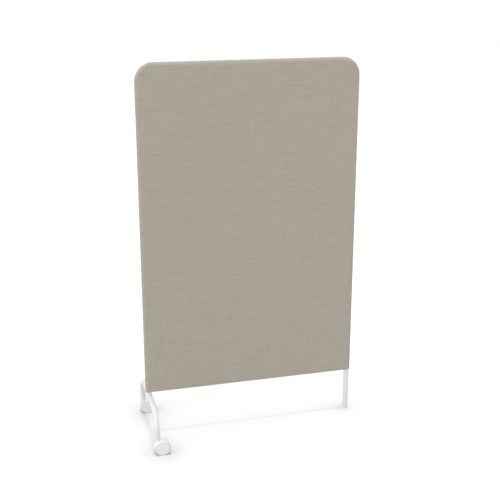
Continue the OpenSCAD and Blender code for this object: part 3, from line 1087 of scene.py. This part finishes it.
@dataclass
class PaddedPanel:
    """Cover, hems, tape, wadding and slabs, with the board and frame tubes that they hide."""

    cloth_t: float = 0.001
    wadding_t: float = 0.0013
    layer_gap: float = 0.0001
    hole_gap: float = 0.0002
    wadding_stop: float = 89.0
    hem_r: float = 0.00055
    hem_flatness: float = 0.6
    hem_steps: tuple[int, int] = (65, 11)
    skin: PanelSkin = field(init=False)
    crown: Crown = field(init=False)
    tube_r: float = field(init=False)

    def __post_init__(self) -> None:
        """Takes the panel's and the tube's sizes from the frame."""
        low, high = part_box("fabric_cover")
        leg_low, leg_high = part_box("straight_leg")
        self.tube_r = (leg_high.x - leg_low.x) / 2
        edge_r = (high.y - low.y) / 2
        hole_r = self.tube_r + self.hole_gap
        self.skin = PanelSkin(high.x - edge_r, low.z, high.z, edge_r, hole_r)
        self.crown = Crown(self.skin.leg_x, low.z + self.skin.base_r, high.z - edge_r)

    def build(self) -> None:
        """Builds every soft piece and dresses what they hide."""
        hems = [self.hem(end) for end in End]
        tape = ClosingTape()
        self.cover([*hems, tape.band(), tape.stitches()])
        for side in Side:
            self.wadding(side)
            FeltSlab(side, self.skin, self.crown, self.tube_r, self.layer_gap).build()
        frame_parts = ("frame_hoop", "bottom_rail", "fixing_tabs")
        dress_nodes({FIBRE_BOARD: ("core_board",), ZINC: ("board_screws",), WHITE_PAINT: frame_parts})

    def cover(self, with_pieces: Sequence[bpy.types.Object]) -> None:
        """The sewn cover: both halves joined at the seam, with the cloth's thickness.

        Args:
            with_pieces: hems, tape and stitches; not used.
        """
        skin = self.skin
        patches = [patch for side in Side for patch in skin.half(side, self.crown)]
        cover = new_piece("sewn_cover", patches, COVER_CLOTH)
        give_wall(cover, self.cloth_t)
        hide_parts("fabric_cover")
        width = 2 * (2 * skin.leg_x + math.pi * skin.edge_r)
        turned_under = skin.edge_r - skin.base_r + 0.5 * math.pi * skin.base_r
        height = turned_under + skin.high - skin.edge_r - skin.low - skin.base_r + 0.5 * math.pi * skin.edge_r
        cut_corners = 4 * (1 - 0.25 * math.pi) * skin.corner_r**2
        width * height - cut_corners
        log.info("cover: cut from %.3f by %.3f m of cloth", width, height)

    def hem(self, end: End) -> bpy.types.Object:
        """The turned edge of the cover round a tube: a thin ring that follows the cover's underside.

        Args:
            end: the panel's end where the tube is.
        Returns:
            The ring.
        """
        leg = end.value * self.skin.leg_x
        around, across = np.meshgrid(*(round_angles(count) for count in self.hem_steps))
        middle = self.skin.hole_r + self.hem_r
        radius = middle + self.hem_r * np.cos(across)
        x, y = leg + radius * np.cos(around), radius * np.sin(around)
        level = self.skin.height_under(leg, leg + middle * np.cos(around), middle * np.sin(around))
        z = level + self.hem_flatness * self.hem_r * np.sin(across)
        cloth = np.stack([middle * around, self.hem_r * across], axis=-1)
        ring = Patch(np.stack([x, y, z], axis=-1), cloth)
        return new_piece(f"{end.word}_leg_hem", [ring], HEM_CLOTH)

    def wadding(self, side: Side) -> None:
        """One half of the fleece under the cover, out to just short of the middle of the edge.

        Args:
            side: the face that it lies under.
        """
        skin = self.skin.drawn_in(self.cloth_t + self.layer_gap)
        patches = skin.half(side, self.crown, self.wadding_stop)
        fleece = new_piece(f"{side.word}_fleece", patches, WHITE_FLEECE)
        give_wall(fleece, self.wadding_t)
        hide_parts(f"{side.word}_wadding")


# ---- hard parts ----


def dress_nodes(finishes: dict[Finish, Sequence[str]], prefix: str = "") -> None:
    """Gives nodes of the model their finishes, and leaves their meshes alone.

    Args:
        finishes: the nodes' names by finish.
        prefix: what goes before each name.
    """
    for finish, names in finishes.items():
        for name in names:
            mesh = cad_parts[prefix + name].data
            mesh.materials.clear()
            mesh.materials.append(finish.material())
            log.info("dressed: %s in %s", prefix + name, finish.name)


@dataclass(frozen=True)
class StraightEnd:
    """The plain tube leg with its joiner and glide."""

    painted: tuple[str, ...] = ("straight_leg",)
    plated: tuple[str, ...] = ("leg_joiner",)
    moulded: tuple[str, ...] = ("leg_glide",)

    def build(self) -> None:
        """Dresses the leg, its joiner and its glide."""
        dress_nodes({WHITE_PAINT: self.painted, ZINC: self.plated, CASTER_SHELL: self.moulded})


@dataclass(frozen=True)
class ArchFoot:
    """The bent tube with the saddle, spigot and bolt that hold it to the frame."""

    painted: tuple[str, ...] = ("arch_foot", "neck_saddle")
    plated: tuple[str, ...] = ("frame_spigot", "crown_bolt", "crown_washer")

    def build(self) -> None:
        """Dresses the tube and saddle, and what holds them."""
        dress_nodes({WHITE_PAINT: self.painted, ZINC: self.plated})


@dataclass(frozen=True)
class Caster:
    """One twin-wheel caster with its stem and socket."""

    side: Side
    moulded: tuple[str, ...] = ("stem_socket", "hood", "outer_rim", "inner_rim")
    plated: tuple[str, ...] = ("stem", "grip_ring", "axle")
    rubber: tuple[str, ...] = ("outer_tyre", "inner_tyre")

    def build(self) -> None:
        """Dresses the socket, stem, hood, axle and both wheels."""
        finishes = {CASTER_SHELL: self.moulded, ZINC: self.plated, TREAD: self.rubber}
        dress_nodes(finishes, f"{self.side.word}_")


# ---- studio ----


@dataclass(frozen=True)
class Lamp:
    """A distant soft light: where it shines from, how strong, and how wide it looks."""

    name: str
    towards: Triple
    strength: float
    angle: float

    def light(self) -> None:
        """Adds the lamp, turned so that it shines from its direction."""
        data = bpy.data.lights.new(self.name, "SUN")
        data.energy = self.strength
        data.angle = math.radians(self.angle)
        x, y, z = self.towards
        turn = (math.atan2(math.hypot(x, y), z), 0.0, math.atan2(x, -y))
        placed(self.name, data).rotation_euler = turn


@dataclass(frozen=True)
class Studio:
    """Pale floor, even surroundings, four soft lamps and the camera.

    The camera's place and turn come from the panel's edges in the photograph. The floor has one tone where
    it throws light back, and another tone and a lift where it is seen. Its contact shadow is contact_depth
    at most, where contact_full of the space within contact_reach is filled.
    """

    eye: Triple = (-1.0477, -3.9046, 2.1357)
    turn: Triple = (72.399, 0.0, -15.011)
    lens: float = 67.18
    sensor: float = 36.0
    floor_radius: float = 9.0
    floor_steps: tuple[int, int] = (97, 5)
    floor_tone: float = 0.46
    seen_tone: float = 0.702
    seen_lift: float = 0.18
    contact_reach: float = 0.20
    contact_full: float = 0.12
    contact_depth: float = 0.12
    contact_samples: int = 16
    lamps: tuple[Lamp, ...] = (
        Lamp("overhead", (0.0, 0.0, 1.0), 0.9, 10.0),
        Lamp("left_fill", (-0.9, -0.35, 0.14), 0.76, 16.0),
        Lamp("front_fill", (-0.3, -1.0, 0.12), 0.38, 12.0),
        Lamp("right_fill", (0.9, -0.5, 0.13), 0.20, 14.0),
    )

    def build(self) -> None:
        """Makes camera, floor, surroundings and lamps."""
        scene = bpy.context.scene
        scene.view_settings.view_transform = "Standard"
        self.camera(scene)
        self.floor()
        self.surroundings(scene)
        for lamp in self.lamps:
            lamp.light()

    def camera(self, scene: bpy.types.Scene) -> None:
        """The camera at the photograph's viewing angle, from the front, a little from the left and above.

        Args:
            scene: the scene that it films.
        """
        data = bpy.data.cameras.new("camera")
        data.sensor_width = self.sensor
        data.lens = self.lens
        camera = placed("camera", data)
        camera.location = self.eye
        camera.rotation_euler = tuple(math.radians(a) for a in self.turn)
        scene.camera = camera

    def seen(self, graph: Graph) -> Signal:
        """1 where the camera, a reflection or a refraction looks, else 0."""
        path = graph.node("ShaderNodeLightPath", output="Is Camera Ray")
        return path.highest(path.output("Is Glossy Ray")).highest(path.output("Is Transmission Ray"))

    def contact(self, graph: Graph) -> Signal:
        """The soft shadow where something stands.

        Args:
            graph: the floor's node tree.
        Returns:
            1 in the open, less as more of the near space is filled.
        """
        settings, reach = {"samples": self.contact_samples}, {"Distance": self.contact_reach}
        open_share = graph.node("ShaderNodeAmbientOcclusion", settings, reach, output="AO")
        return 1.0 - (1.0 - open_share).ramp(0.0, self.contact_full) * self.contact_depth

    def floor(self) -> None:
        """A round pale floor that looks white and still keeps the object's shadow."""
        spokes, rings = self.floor_steps
        reach = self.floor_radius * np.linspace(0, 1, rings)
        angle, radius = np.meshgrid(round_angles(spokes), reach, indexing="ij")
        points = np.stack([radius * np.cos(angle), radius * np.sin(angle), 0 * radius], axis=-1)
        mesh = joined_mesh("floor", [Patch(points, points[..., :2])])
        material = bpy.data.materials.new("pale_floor")
        mesh.materials.append(material)
        graph = Graph(material)
        seen, contact = self.seen(graph), self.contact(graph)
        tone = self.floor_tone + seen * (self.seen_tone * contact - self.floor_tone)
        matt = graph.node("ShaderNodeBsdfDiffuse", inputs={"Color": graph.tinted(WHITE, tone)})
        lift = seen * contact * self.seen_lift
        glow = graph.node("ShaderNodeEmission", inputs={"Color": (*WHITE, 1.0), "Strength": lift})
        both = graph.node("ShaderNodeAddShader", inputs={0: matt, 1: glow})
        graph.node("ShaderNodeOutputMaterial", inputs={"Surface": both})
        floor = placed("floor", mesh)

    def surroundings(self, scene: bpy.types.Scene) -> None:
        """An even white room of strength 1, to the eye and as a light.

        Args:
            scene: the scene that it surrounds.
        """
        scene.world = bpy.data.worlds.new("studio")
        graph = Graph(scene.world)
        background = graph.node("ShaderNodeBackground", inputs={"Color": (*WHITE, 1.0), "Strength": 1.0})
        graph.node("ShaderNodeOutputWorld", inputs={"Surface": background})


def main() -> None:
    """Builds studio, panel, both ends and the casters, in that order."""
    logging.basicConfig(level=logging.INFO, format="%(message)s")
    Studio().build()
    PaddedPanel().build()
    StraightEnd().build()
    ArchFoot().build()
    for side in Side:
        Caster(side).build()


if __name__ == "__main__":
    main()
